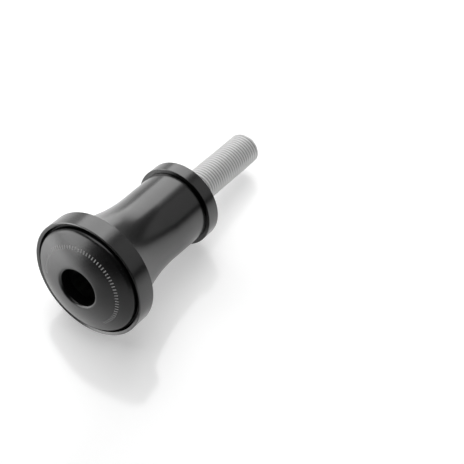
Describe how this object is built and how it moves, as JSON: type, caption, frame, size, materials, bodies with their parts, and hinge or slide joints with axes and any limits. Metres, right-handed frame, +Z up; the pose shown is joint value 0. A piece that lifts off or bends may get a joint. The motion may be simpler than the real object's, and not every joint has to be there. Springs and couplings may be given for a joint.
{
  "type": "motorcycle frame slider",
  "caption": "Long crash slider for a motorbike frame: turned waisted spool with spacer collar, bezel, domed slide pad and captive through bolt.",
  "frame": {"origin": "centre of the spacer collar's back face, which seats on the motorcycle's frame", "axes": "+X along the slider's axis, away from the motorcycle towards the slide pad; +Z up"},
  "size_m": [0.1148, 0.05, 0.05],
  "materials": {
    "anodised_collar": "satin",
    "anodised_spool": "satin",
    "anodised_bezel": "satin",
    "polymer_pad": "satin",
    "seal_rubber": "matte",
    "zinc_washer": "satin",
    "zinc_bolt": "satin"
  },
  "bodies": {
    "slider": {"spacer_collar": "anodised_collar", "spool_body": "anodised_spool", "bezel_ring": "anodised_bezel", "slide_pad": "polymer_pad", "pad_seal": "seal_rubber", "head_washer": "zinc_washer"},
    "bolt": {"mounting_bolt": "zinc_bolt"}
  },
  "joints": [
    {"name": "bolt_turn", "type": "hinge", "parent": "slider", "child": "bolt", "pos_m": [0, 0, 0], "axis": [1, 0, 0], "continuous": true}
  ]
}
